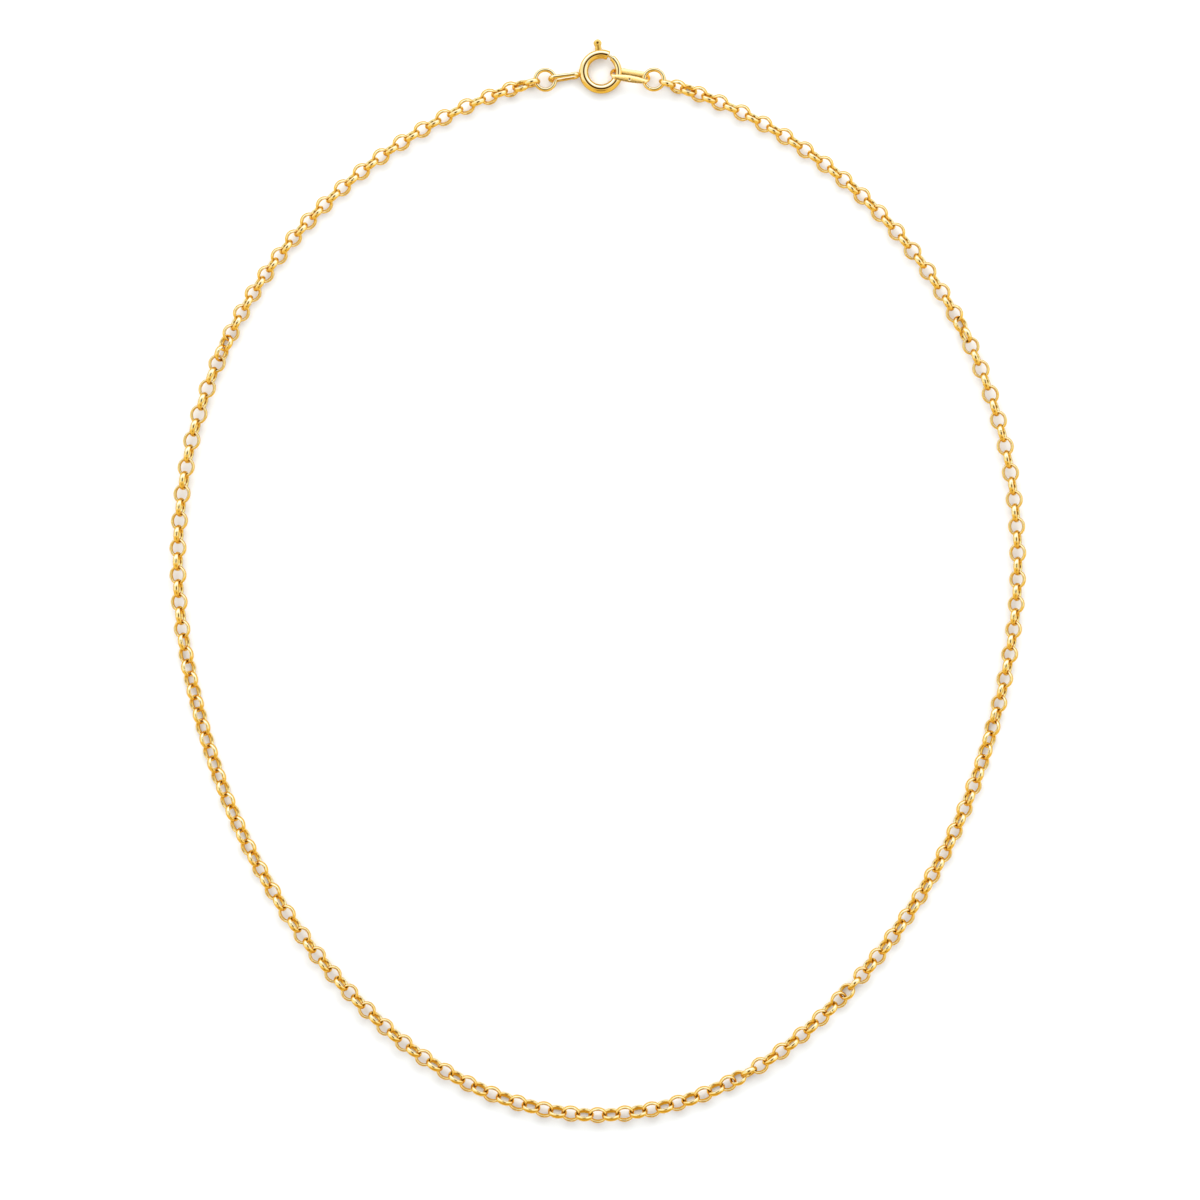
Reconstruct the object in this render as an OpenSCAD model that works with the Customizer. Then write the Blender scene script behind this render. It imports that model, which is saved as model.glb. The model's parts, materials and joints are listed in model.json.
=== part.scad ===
// Rolo chain necklace with a spring ring clasp, closed and laid flat in a rounded loop.
// It lies on the plane z = 0. The origin is the middle of the loop's outline, with the clasp at +Y
// and the wearer's left and right strands at -X and +X.

/* [Loop] */
// Width of the laid loop, over the outsides of the chain
loop_w = 133.6; // [120:0.2:150]
// Length of the laid loop, from the tip of the trigger to the outside of the chain
loop_h = 169.2; // [150:0.2:190]
// Sideways offset of the clasp from the middle of the loop
clasp_shift = 0.5; // [-2:0.1:2]

/* [Chain] */
// Outer length of a link
link_l = 2.96; // [2.7:0.02:3.3]
// Outer width of a link
link_w = 2.7; // [2.5:0.02:2.9]
// Diameter of a link's wire
link_wire = 0.36; // [0.3:0.01:0.42]
// Clearance between two hooked links where the chain is drawn out
link_gap = 0.11; // [0.1:0.01:0.18]
// Mean distance of the links, as a share of that in a drawn out chain
slack = 0.921; // [0.92:0.001:0.95]

/* [Jump rings] */
// Outer diameter of a jump ring
jump_d = 3.75; // [3.4:0.05:4.4]
// Diameter of a jump ring's wire
jump_wire = 0.65; // [0.5:0.01:0.7]
// Play of a jump ring in the loop that holds it
jump_play = 0.28; // [0.15:0.01:0.4]

/* [Clasp case] */
// Outer diameter of the spring ring's case
case_d = 6.9; // [6.4:0.1:7.6]
// Diameter of the case's tube
tube_d = 1.45; // [1.35:0.01:1.6]
// Angle of the mouth's edge beside the trigger
mouth_a = 65; // [60:1:68]
// Angle that the mouth spans
mouth_span = 86; // [80:1:88]
// Length of the tail loop, from the case's outside to its far end
tail_l = 4.9; // [4.4:0.1:5.6]
// Outer width of the tail loop
tail_w = 2.1; // [2.05:0.01:2.3]
// Diameter of the tail loop's wire
tail_wire = 0.5; // [0.4:0.01:0.55]
// Lean of the tail loop from upright
tail_lean = 24; // [15:1:28]

/* [Bolt and trigger] */
// Diameter of the bolt
bolt_d = 0.97; // [0.85:0.01:1.05]
// Radial clearance of the bolt in the case
bolt_fit = 0.05; // [0.03:0.01:0.08]
// Diameter of the neck that joins the bolt to the trigger
neck_d = 0.5; // [0.4:0.01:0.6]
// Angle of bare neck between the mouth's edge and the closed bolt
neck_show = 13; // [8:1:16]
// Angle by which the closed bolt's tip enters the case
bolt_entry = 3; // [2:0.5:4]
// Angle of the trigger when the bolt is closed
trigger_a = 97; // [95:1:101]
// Angle that the trigger slides back
trigger_travel = 68; // [50:1:68]
// How far the trigger stands out of the case
trigger_reach = 1.62; // [1.4:0.02:1.9]
// Diameter of the trigger's round head
trigger_head = 1.17; // [1:0.01:1.3]
// Width of the trigger's stem
trigger_stem = 0.88; // [0.7:0.01:0.95]
// Thickness of the trigger
trigger_t = 0.6; // [0.5:0.01:0.7]
// Diameter of the dimple in the trigger's head
dimple_d = 0.44; // [0.3:0.01:0.6]

/* [Catch tag] */
// Length of the tag
tag_l = 6.15; // [5.6:0.05:7]
// Width of the tag's strip
strip_w = 0.82; // [0.7:0.01:0.9]
// Thickness of the tag's strip
strip_t = 0.28; // [0.2:0.01:0.32]
// Sideways distance between the tag's upper and lower rails
tag_spread = 1.25; // [1.1:0.01:1.4]
// Play between the bolt and the end of the tag
tag_play = 0.44; // [0.3:0.01:0.6]
// Diameter of the round punch dot in the upper rail
dot_d = 0.34; // [0.25:0.01:0.4]

/* [Hidden] */
$fn = 32;
gold = [0.92, 0.75, 0.42];

// Clearance between pieces that hold each other without being hooked up tight
piece_gap = 0.1;
// Depth by which a soldered end runs into what it is soldered to
solder = 0.15;
// Length by which a cut runs past the face that it cuts, and angle for a bend's end
past = 1;
past_a = 1;

// Chain: radius of the middle of a link's wire at its ends, and the distance of drawn out links
link_r = (link_w - link_wire) / 2;
taut_pitch = link_l - 2 * link_wire - link_gap;

// Clasp: radius of the middle of the tube, its bore, and the closed bolt's two ends
case_r = (case_d - tube_d) / 2;
bore_d = bolt_d + 2 * bolt_fit;
bolt_end_a = mouth_a - neck_show;
bolt_tip_a = mouth_a - mouth_span - bolt_entry;

// Trigger and the slot that it slides in, which is longer than its travel by a margin at each end
trigger_half_a = asin(trigger_stem / case_d);
slot_t = trigger_t + 2 * bolt_fit;
slot_margin = 2;
tip_r = case_d / 2 + trigger_reach;
dimple_depth = 0.12;

// The tail loop leans on edge on the surface, and the height of the case follows it
tail_r = (tail_w - tail_wire) / 2;
tail_a = 188.5;
clasp_z = tail_r * cos(tail_lean) + tail_wire / 2;
clasp_pos = [clasp_shift, loop_h / 2 - tip_r * sin(trigger_a), clasp_z];

// The tag hangs on the bolt at its seat angle and points away from it at its own. Its lower rail
// lies on the surface and its upper rail clears the top of the case.
tag_seat_a = -8;
tag_a = -9;
tag_h = clasp_z + tube_d / 2 + piece_gap + strip_t;
tag_end_x = bolt_d / 2 + tag_play + strip_t;
tag_pos = clasp_pos + case_r * [cos(tag_seat_a), sin(tag_seat_a), 0];
tag_lean = tag_spread / (tag_h - strip_t);
dot_depth = 0.1;

// Each jump ring hangs in its loop on one side and on the other holds the chain's end link,
// which has a little play
jump_r = (jump_d - jump_wire) / 2;
end_play = 0.15;
jump_lead = jump_r + link_l / 2 - link_wire - end_play - jump_wire / 2;
left_reach = case_d / 2 + tail_l - tail_wire - jump_play - jump_wire / 2 + jump_r;
right_reach = tag_l - tag_end_x - strip_t - jump_play - jump_wire / 2 + jump_r;
left_jump = clasp_pos + left_reach * [cos(tail_a), sin(tail_a), 0];
right_jump = tag_pos + right_reach * [cos(tag_a), sin(tag_a), 0];

// Roll of the chain's end links, which hold the jump rings a little below their own middle
end_roll = 80;
end_sag = 0.08;
hook_z = rest_z(end_roll) - end_sag;

// Middle line of the right strand, from the clasp down to the bottom of the loop, in percent of
// the middle line's half width and half length. The left strand mirrors it.
ROUTE = [
    [21, 92.2],
    [40, 85.5],
    [56.8, 76.5],
    [82.4, 53.7],
    [96.6, 27],
    [100, -0.7],
    [94, -27.6],
    [80.5, -53.9],
    [57.2, -78.6],
    [41, -89.5],
    [21.6, -97.1],
];
ROUTE_BOTTOM = [0, -100];
route_half = [(loop_w - link_w) / 200, (loop_h - link_w) / 200];
route_steps = 12;

// How the chain lies. Columns: link number in a chain of LAY_LINKS pitches, percent of the way
// along the chain, roll of the even links, roll of the odd links. A link at 0 or 180 lies flat
// and one at 90 stands on edge. Where the two rolls change places, the chain has a half turn.
LAY_LINKS = 222;
LAY = [
    [0, 0, -end_roll, 50],
    [2, 0.8, -40, 66],
    [4, 1.6, -34, 74],
    [20, 8.7, -30, 73],
    [34, 14.4, -20, 75],
    [37, 15.6, -76, -4],
    [47, 20.45, -76, 8],
    [57, 25.3, -72, 18],
    [60, 26.7, -47, 44],
    [65, 28.9, -51, 41],
    [73, 32.6, -55, 36],
    [79, 35.3, -65, 30],
    [83, 37.2, -70, 6],
    [97, 43.4, -69, 10],
    [102, 45.7, -58, 22],
    [121, 54.9, -59, 22],
    [122, 55.3, -45, 42],
    [124, 56.2, 16, 104],
    [132, 59.9, 20, 116],
    [135, 61.1, 115, 194],
    [143, 64.6, 114, 206],
    [153, 69, 111, 204],
    [160, 72.1, 153, 246],
    [170, 76.6, 158, 249],
    [174, 78.5, 168, 253],
    [186, 84.3, 172, 254],
    [188, 85.2, 178, 262],
    [191, 86.5, 251, 344],
    [197, 89.2, 252, 352],
    [201, 91, 247, 335],
    [209, 94.5, 250, 336],
    [217, 98, 252, 330],
    [219, 98.8, 242, 326],
    [221, 99.6, 232, 308],
    [LAY_LINKS, 100, 180 + end_roll, 305],
];

// Height of a link's middle when the link rests on the surface at a given roll
function rest_z(roll) = link_r * abs(sin(roll)) + link_wire / 2;

// Point at share t of a smooth curve from a to b, with slopes for each unit of its chord's length
function curve_point(a, a_slope, b, b_slope, t) =
    let (chord = norm(b - a))
    (2 * t * t * t - 3 * t * t + 1) * a
    + (t * t * t - 2 * t * t + t) * chord * a_slope
    + (3 * t * t - 2 * t * t * t) * b
    + (t * t * t - t * t) * chord * b_slope;

route_right = [for (p = ROUTE) [p.x * route_half.x, p.y * route_half.y]];
route_left = [for (p = ROUTE) [-p.x * route_half.x, p.y * route_half.y]];
knots = [
    [left_jump.x, left_jump.y],
    each route_left,
    [ROUTE_BOTTOM.x * route_half.x, ROUTE_BOTTOM.y * route_half.y],
    for (i = [len(route_right) - 1:-1:0]) route_right[i],
    [right_jump.x, right_jump.y],
];
last_knot = len(knots) - 1;

// Slopes of the curve at its knots, those at the ends being carried on from their neighbours
function chord_l(i) = norm(knots[i + 1] - knots[i]);
function chord_slope(i) = (knots[i + 1] - knots[i]) / chord_l(i);
function inner_slope(i) =
    (chord_slope(i - 1) * chord_l(i) + chord_slope(i) * chord_l(i - 1)) / (chord_l(i - 1) + chord_l(i));
function slope(i) =
    i == 0 ? 2 * chord_slope(0) - inner_slope(1)
    : i == last_knot ? 2 * chord_slope(last_knot - 1) - inner_slope(last_knot - 1)
    : inner_slope(i);

route_fine = [
    for (i = [0:last_knot - 1], j = [0:route_steps - 1])
        curve_point(knots[i], slope(i), knots[i + 1], slope(i + 1), j / route_steps),
    knots[last_knot],
];
last_fine = len(route_fine) - 1;
function step_l(i) = i < last_fine ? norm(route_fine[i + 1] - route_fine[i]) : 0;
route_at = [for (i = 0, s = 0; i <= last_fine; s = s + step_l(i), i = i + 1) s];
route_x = [for (i = [0:last_fine]) [route_at[i], route_fine[i].x]];
route_y = [for (i = [0:last_fine]) [route_at[i], route_fine[i].y]];
chain_run = route_at[last_fine] - 2 * jump_lead;

// Links are numbered from the left jump ring to the right one, and their number is even
last_link = 2 * round(chain_run / (taut_pitch * slack) / 2);
lay_along = [for (row = LAY) [row[0], row[1]]];
lay_even = [for (row = LAY) [row[0], row[2]]];
lay_odd = [for (row = LAY) [row[0], row[3]]];

function lay_key(i) = i * LAY_LINKS / last_link;
function link_roll(i) = lookup(lay_key(i), i % 2 == 0 ? lay_even : lay_odd);
function link_at(i) = jump_lead + chain_run * lookup(lay_key(i), lay_along) / 100;
function own_z(i) = rest_z(link_roll(min(max(i, 0), last_link)));
function link_z(i) = max(own_z(i), (own_z(i - 1) + own_z(i + 1)) / 2);
function route_point(s) = [lookup(s, route_x), lookup(s, route_y)];
function heading(v) = atan2(v.y, v.x);
function link_heading(i) =
    heading(route_point(link_at(i) + link_r) - route_point(link_at(i) - link_r));

// A flat oval ring of round wire along X, with two half rings and two short straights
module oval_ring(l, w, wire) {
    r = (w - wire) / 2;
    for (side = [-1, 1]) {
        translate([side * (l - w) / 2, 0, 0])
            rotate([0, 0, -side * 90])
            rotate_extrude(angle = 180) translate([r, 0]) circle(d = wire);
        translate([-(l - w) / 2, side * r, 0])
            rotate([0, 90, 0])
            cylinder(d = wire, h = l - w);
    }
}

module links(first, last) {
    for (i = [first:last]) {
        spot = route_point(link_at(i));
        color(gold)
            translate([spot.x, spot.y, link_z(i)])
            rotate([0, 0, link_heading(i)])
            rotate([link_roll(i), 0, 0])
            oval_ring(link_l, link_w, link_wire);
    }
}

module chain_left() {
    links(0, last_link / 2 - 1);
}

module chain_right() {
    links(last_link / 2, last_link);
}

// A round wire ring, level with the clasp on the side of the loop that holds it and tilted up to
// the height of the chain's first link on the other
module jump_ring(pos, out_a) {
    color(gold)
        translate([pos.x, pos.y, (clasp_z + hook_z) / 2])
        rotate([0, 0, out_a])
        rotate([0, -asin((hook_z - clasp_z) / (2 * jump_r)), 0])
        rotate_extrude() translate([jump_r, 0]) circle(d = jump_wire);
}

module jump_ring_left() {
    jump_ring(left_jump, tail_a);
}

module jump_ring_right() {
    jump_ring(right_jump, tag_a);
}

// A stretch of round bar bent about the clasp's middle
module bent_bar(from_a, to_a, d) {
    rotate([0, 0, from_a])
        rotate_extrude(angle = to_a - from_a) translate([case_r, 0]) circle(d = d);
}

// The oblong loop soldered to the outside of the case, leaning on edge
module tail_loop() {
    rotate([0, 0, tail_a])
        translate([(case_d + tail_l - solder) / 2, 0, 0])
        rotate([90 + tail_lean, 0, 0])
        oval_ring(tail_l + solder, tail_w, tail_wire);
}

// The slot in the outer wall of the case that the trigger slides along
module trigger_slot() {
    from_a = trigger_a - trigger_half_a - slot_margin;
    span = trigger_travel + 2 * trigger_half_a + 2 * slot_margin;
    rotate([0, 0, from_a])
        rotate_extrude(angle = span)
        translate([case_r, -slot_t / 2])
        square([tube_d / 2 + past, slot_t]);
}

module clasp_case() {
    color(gold) translate(clasp_pos) difference() {
        union() {
            bent_bar(mouth_a, mouth_a + 360 - mouth_span, tube_d);
            tail_loop();
        }
        bent_bar(mouth_a - past_a, mouth_a + 360 - mouth_span + past_a, bore_d);
        trigger_slot();
    }
}

// The bolt with its thin neck inside the case and the trigger that stands out through the slot
module clasp_bolt() {
    head_r = tip_r - trigger_head / 2;
    color(gold) translate(clasp_pos) difference() {
        union() {
            bent_bar(bolt_tip_a, bolt_end_a, bolt_d);
            bent_bar(bolt_end_a - past_a, trigger_a, neck_d);
            rotate([0, 0, trigger_a]) {
                translate([case_r, -trigger_stem / 2, -trigger_t / 2])
                    cube([head_r - case_r, trigger_stem, trigger_t]);
                translate([head_r, 0, -trigger_t / 2]) cylinder(d = trigger_head, h = trigger_t);
            }
        }
        rotate([0, 0, trigger_a])
            translate([head_r, 0, trigger_t / 2 - dimple_depth])
            cylinder(d = dimple_d, h = past);
    }
}

// Outline of the tag seen from its edge, an oblong with round ends
module tag_outline(inset) {
    r = tag_h / 2 - inset;
    translate([tag_h / 2 - tag_end_x, 0]) circle(r = r);
    translate([tag_l - tag_end_x - tag_h / 2, 0]) circle(r = r);
    translate([tag_h / 2 - tag_end_x, -r]) square([tag_l - tag_h, 2 * r]);
}

// A band of strip bent into an oblong and leant over, with its upper rail towards -Y
module catch_tag() {
    color(gold)
        translate([tag_pos.x, tag_pos.y, tag_h / 2])
        rotate([0, 0, tag_a])
        multmatrix([
            [1, 0, 0, 0],
            [0, 1, -tag_lean, 0],
            [0, 0, 1, 0],
            [0, 0, 0, 1],
        ])
        difference() {
            rotate([90, 0, 0])
                translate([0, 0, -strip_w / 2])
                linear_extrude(strip_w)
                difference() {
                    tag_outline(0);
                    tag_outline(strip_t);
                }
            translate([tag_l / 2 - tag_end_x, 0, tag_h / 2 - dot_depth])
                cylinder(d = dot_d, h = past);
        }
}

chain_left();
chain_right();
jump_ring_left();
jump_ring_right();
clasp_case();
clasp_bolt();
catch_tag();
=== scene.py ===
"""Looks of a gold rolo chain with its spring ring clasp, lying on a pale surface."""

import json
import math

import bmesh
import bpy
import numpy as np
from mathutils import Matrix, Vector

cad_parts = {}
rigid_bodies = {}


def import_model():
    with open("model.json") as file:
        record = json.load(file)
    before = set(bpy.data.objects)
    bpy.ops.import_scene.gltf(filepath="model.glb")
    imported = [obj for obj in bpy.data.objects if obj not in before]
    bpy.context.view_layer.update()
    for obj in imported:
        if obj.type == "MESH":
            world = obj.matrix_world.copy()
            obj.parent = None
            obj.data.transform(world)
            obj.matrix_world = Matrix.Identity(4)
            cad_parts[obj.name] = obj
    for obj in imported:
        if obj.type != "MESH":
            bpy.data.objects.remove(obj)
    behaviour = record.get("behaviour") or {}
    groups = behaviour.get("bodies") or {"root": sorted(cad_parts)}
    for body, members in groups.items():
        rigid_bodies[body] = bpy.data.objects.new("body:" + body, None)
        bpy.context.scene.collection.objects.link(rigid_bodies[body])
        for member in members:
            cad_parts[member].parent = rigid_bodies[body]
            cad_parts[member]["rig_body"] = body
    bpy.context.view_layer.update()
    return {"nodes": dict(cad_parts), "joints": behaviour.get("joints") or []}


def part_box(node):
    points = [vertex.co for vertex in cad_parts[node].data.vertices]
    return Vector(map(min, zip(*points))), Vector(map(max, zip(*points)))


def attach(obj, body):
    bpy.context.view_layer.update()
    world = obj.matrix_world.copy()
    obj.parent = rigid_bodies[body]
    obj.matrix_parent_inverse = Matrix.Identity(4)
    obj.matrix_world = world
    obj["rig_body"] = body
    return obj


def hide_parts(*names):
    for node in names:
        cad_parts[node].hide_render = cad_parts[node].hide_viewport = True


MM = 0.001

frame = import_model()


# Mesh helpers

def smooth_step(x, low, high):
    t = np.clip((np.asarray(x, float) - low) / (high - low), 0, 1)
    return t * t * (3 - 2 * t)


def hump(x, middle, width):
    """1 at the middle, falling off smoothly to both sides."""
    return np.exp(-((x - middle) / width) ** 2)


def section_points(count, power):
    """Points round a unit superellipse: power 2 is round, more is squarer."""
    a = np.arange(count) * 2 * math.pi / count
    c, s = np.cos(a), np.sin(a)
    x = np.sign(c) * np.abs(c) ** (2 / power)
    y = np.sign(s) * np.abs(s) ** (2 / power)
    return x, y


def swept_points(centres, across, up, half_across, half_up, section):
    """Grid of points, one section round each centre of a path."""
    x, y = section
    half_across = np.broadcast_to(half_across, len(centres))
    half_up = np.broadcast_to(half_up, len(centres))
    return (
        centres[:, None, :]
        + across[:, None, :] * (half_across[:, None] * x[None, :])[..., None]
        + up[:, None, :] * (half_up[:, None] * y[None, :])[..., None]
    )


def grid_faces(rows, columns, closed=True):
    """Quads of a grid that is closed round its columns and, if asked, along its rows."""
    faces = []
    for j in range(rows if closed else rows - 1):
        for k in range(columns):
            here = j * columns
            there = (j + 1) % rows * columns
            faces.append((here + k, here + (k + 1) % columns, there + (k + 1) % columns, there + k))
    return faces


def end_caps(rows, columns):
    return [
        tuple(reversed(range(columns))),
        tuple((rows - 1) * columns + k for k in range(columns)),
    ]


def turn_z(degrees):
    a = math.radians(degrees)
    return np.array([
        [math.cos(a), -math.sin(a), 0],
        [math.sin(a), math.cos(a), 0],
        [0, 0, 1],
    ])


def tilt_x(degrees):
    a = math.radians(degrees)
    return np.array([
        [1, 0, 0],
        [0, math.cos(a), -math.sin(a)],
        [0, math.sin(a), math.cos(a)],
    ])


def outward_faces(mesh):
    shell = bmesh.new()
    shell.from_mesh(mesh)
    bmesh.ops.recalc_face_normals(shell, faces=shell.faces)
    shell.to_mesh(mesh)
    shell.free()


class Shape:
    """Points, faces and point values of a piece while it is put together."""

    def __init__(self):
        self.points = []
        self.faces = []
        # point values: painted shade in crevices and hollows, random tone, painted shade on the hole
        # side of wires
        self.values = {"pit": [], "tone": [], "deep": []}
        self.slots = []
        self.count = 0

    def add(self, points, faces, pit=0.0, tone=0.5, deep=0.0, slot=0):
        points = np.asarray(points, float).reshape(-1, 3)
        self.points.append(points)
        self.faces += [tuple(self.count + i for i in face) for face in faces]
        self.slots += [slot] * len(faces)
        self.values["pit"].append(np.broadcast_to(pit, len(points)))
        self.values["tone"].append(np.broadcast_to(tone, len(points)))
        self.values["deep"].append(np.broadcast_to(deep, len(points)))
        self.count += len(points)

    def piece(self, name, node, slot, materials):
        """The piece as an object that stands for a CAD node and moves with its body."""
        mesh = bpy.data.meshes.new(name)
        points = np.concatenate(self.points)
        mesh.from_pydata(points.tolist(), [], self.faces)
        mesh.validate()
        outward_faces(mesh)
        for material in materials:
            mesh.materials.append(material)
        mesh.polygons.foreach_set("material_index", self.slots)
        mesh.shade_smooth()
        for key, values in self.values.items():
            layer = mesh.attributes.new(key, "FLOAT", "POINT")
            layer.data.foreach_set("value", np.concatenate(values).astype(np.float32))
        obj = bpy.data.objects.new(name, mesh)
        bpy.context.scene.collection.objects.link(obj)
        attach(obj, frame["nodes"][node]["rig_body"])
        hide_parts(node)
        return obj


# Node helpers

def link_nodes(tree, pairs):
    for source, target in pairs:
        tree.links.new(source, target)


def noise_node(tree, coords, scale, detail, rough=0.5):
    node = tree.nodes.new("ShaderNodeTexNoise")
    node.inputs["Scale"].default_value = scale
    node.inputs["Detail"].default_value = detail
    node.inputs["Roughness"].default_value = rough
    tree.links.new(coords, node.inputs["Vector"])
    return node.outputs["Fac"]


def map_node(tree, value, low, high, to_low, to_high, smooth=False):
    node = tree.nodes.new("ShaderNodeMapRange")
    node.interpolation_type = "SMOOTHSTEP" if smooth else "LINEAR"
    sockets = ("From Min", "From Max", "To Min", "To Max")
    for key, number in zip(sockets, (low, high, to_low, to_high)):
        node.inputs[key].default_value = number
    tree.links.new(value, node.inputs["Value"])
    return node.outputs["Result"]


def math_node(tree, kind, a, b):
    node = tree.nodes.new("ShaderNodeMath")
    node.operation = kind
    for socket, value in zip(node.inputs, (a, b)):
        if isinstance(value, (int, float)):
            socket.default_value = value
        else:
            tree.links.new(value, socket)
    return node.outputs["Value"]


def mix_node(tree, factor, a, b):
    node = tree.nodes.new("ShaderNodeMix")
    node.data_type = "RGBA"
    tree.links.new(factor, node.inputs["Factor"])
    for socket, value in ((node.inputs[6], a), (node.inputs[7], b)):
        if isinstance(value, tuple):
            socket.default_value = (*value, 1)
        else:
            tree.links.new(value, socket)
    return node.outputs[2]


def bump_node(tree, height, distance, strength, normal=None):
    node = tree.nodes.new("ShaderNodeBump")
    node.inputs["Distance"].default_value = distance
    node.inputs["Strength"].default_value = strength
    tree.links.new(height, node.inputs["Height"])
    if normal is not None:
        tree.links.new(normal, node.inputs["Normal"])
    return node.outputs["Normal"]


def split_node(tree, vector):
    node = tree.nodes.new("ShaderNodeSeparateXYZ")
    tree.links.new(vector, node.inputs["Vector"])
    return node.outputs["X"], node.outputs["Y"], node.outputs["Z"]


def point_value(tree, name):
    node = tree.nodes.new("ShaderNodeAttribute")
    node.attribute_name = name
    return node.outputs["Fac"]


# Gold

CHAIN_GOLD = (0.93, 0.60, 0.15)
CLASP_GOLD = (0.94, 0.62, 0.165)
SATIN_GOLD = (0.93, 0.58, 0.13)
GRAINED_GOLD = (0.78, 0.43, 0.06)
DEEP_GOLD = (0.82, 0.45, 0.07)     # the warmer end of each gold's cloudy tone
INNER_SHADE_GOLD = (0.72, 0.38, 0.03)    # painted shade on the hole side of a link's wire
SHADE_GOLD = (0.10, 0.045, 0.012)    # painted shade in crevices between links and in hollows

# Noise scales are counts per metre
CLOUD_SCALE = 900
CLOUD_SHARE = 0.35
TONE_SHARE = 0.5
TINT_FROM = (0.2, 0.75)
TINT_TO = (0.0, 0.22)
POLISH_SCALE = 3500
POLISH_ROUGH = 0.6
POLISH_FROM = (0.3, 0.7)
WAVE_SCALE = 1100
WAVE_HEIGHT = 0.1 * MM
GRAIN_SCALE = 14000
GRAIN_HEIGHT = 0.01 * MM


def gold_material(name, colour, rough, wave, grain):
    """Polished gold: cloudy tone, painted shade on the hole side of wires and in crevices and
    hollows, uneven polish, soft waves from the making and fine grain.
    """
    material = bpy.data.materials.new(name)
    material.use_nodes = True
    tree = material.node_tree
    shader = tree.nodes["Principled BSDF"]
    shader.inputs["Metallic"].default_value = 1.0
    coords = tree.nodes.new("ShaderNodeTexCoord").outputs["Object"]

    cloud = noise_node(tree, coords, CLOUD_SCALE, 2)
    tone = math_node(tree, "MULTIPLY", point_value(tree, "tone"), TONE_SHARE)
    blend = math_node(tree, "ADD", math_node(tree, "MULTIPLY", cloud, CLOUD_SHARE), tone)
    tint = map_node(tree, blend, *TINT_FROM, *TINT_TO)
    warm = mix_node(tree, tint, colour, DEEP_GOLD)
    # painted shade: darker gold on the hole side of the wires
    warm = mix_node(tree, point_value(tree, "deep"), warm, INNER_SHADE_GOLD)
    # painted shade: near-black gold in crevices and hollows
    base = mix_node(tree, point_value(tree, "pit"), warm, SHADE_GOLD)

    polish = noise_node(tree, coords, POLISH_SCALE, 4, POLISH_ROUGH)
    uneven = map_node(tree, polish, *POLISH_FROM, *rough)

    waves = bump_node(tree, noise_node(tree, coords, WAVE_SCALE, 1), WAVE_HEIGHT, wave)
    fine = bump_node(tree, noise_node(tree, coords, GRAIN_SCALE, 3), GRAIN_HEIGHT, grain, waves)
    link_nodes(tree, [
        (base, shader.inputs["Base Color"]),
        (uneven, shader.inputs["Roughness"]),
        (fine, shader.inputs["Normal"]),
    ])
    return material


chain_gold = gold_material("chain_gold_polished", CHAIN_GOLD, (0.05, 0.10), 0.14, 0.12)
clasp_gold = gold_material("clasp_gold_polished", CLASP_GOLD, (0.03, 0.07), 0.02, 0.06)
satin_gold = gold_material("clasp_gold_satin", SATIN_GOLD, (0.24, 0.32), 0.02, 0.06)
grained_gold = gold_material("clasp_gold_grained", GRAINED_GOLD, (0.26, 0.38), 0.8, 1.0)


# Chain links

LINK_W = 2.69 * MM
LINK_W_SPREAD = 0.008
LINK_SIDE = 0.49 * MM          # wire at a link's sides, measured across the ring
LINK_END = 0.44 * MM           # wire at a link's worn ends
LINK_AXIAL = 0.84 * MM         # wire at the sides, measured along the ring's axis
LINK_AXIAL_END = 0.66 * MM
LINK_END_POWER = 2.2           # how far the worn ends reach round towards the sides
LINK_WIRE_CHANGE = 0.03
LINK_LEAN = 0.03 * MM
LINK_L_RANGE = (2.78 * MM, 3.05 * MM)
LINK_PLAY = 0.02 * MM
LINK_STEPS = 44
LINK_SEED = 11

SEAM_STEPS = 8
SEAM_HALF = 0.06 * MM
SEAM_REACH = 2.2               # in half seams, where the stations are close together
SEAM_CLEAR = 0.12              # angle beside the seam without even stations
SEAM_DEPTH = 0.05
SEAM_SPREAD = 0.25
SPARE_STEP = 0.05              # angle between the stations left over, opposite the seam

SECTION_STEPS = 16
LINK_SECTION = section_points(SECTION_STEPS, 2.0)
CREVICE_SHADE_REACH = 0.30 * MM            # reach of the painted shade round a hooked link
CREVICE_SHADE_DEPTH = 0.75
INNER_SHADE_DEPTH = 0.55             # painted shade: darker gold on the hole side of the wire
INNER_SHADE_RANGE = (-0.1, 0.75)
SAME_POINT = 0.001 * MM


def solid_points(node):
    """Points of each separate solid in a CAD node."""
    mesh = frame["nodes"][node].data
    points = np.empty(len(mesh.vertices) * 3)
    mesh.vertices.foreach_get("co", points)
    points = points.reshape(-1, 3)
    edges = np.empty(len(mesh.edges) * 2, int)
    mesh.edges.foreach_get("vertices", edges)
    same = np.unique(np.round(points / SAME_POINT).astype(int), axis=0, return_inverse=True)[1]
    ends = same.reshape(-1)[edges.reshape(-1, 2)]
    label = np.arange(ends.max() + 1)
    while True:
        low = label[ends].min(axis=1)
        nearer = label.copy()
        np.minimum.at(nearer, ends[:, 0], low)
        np.minimum.at(nearer, ends[:, 1], low)
        nearer = nearer[nearer]
        if (nearer == label).all():
            break
        label = nearer
    owner = label[same.reshape(-1)]
    order = np.argsort(owner, kind="stable")
    cuts = np.flatnonzero(np.diff(owner[order])) + 1
    return np.split(points[order], cuts)


def link_pose(points):
    """Middle, long axis and ring axis of a link's solid."""
    centre = (points.min(0) + points.max(0)) / 2
    spread = np.linalg.eigh((points - centre).T @ (points - centre))[1]
    return centre, spread[:, 2], spread[:, 0]


def loop_angle(pose):
    """Place of a link round the loop, counter-clockwise from the clasp."""
    x, y = pose[0][:2]
    return math.atan2(-x, y) % (2 * math.pi)


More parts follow.
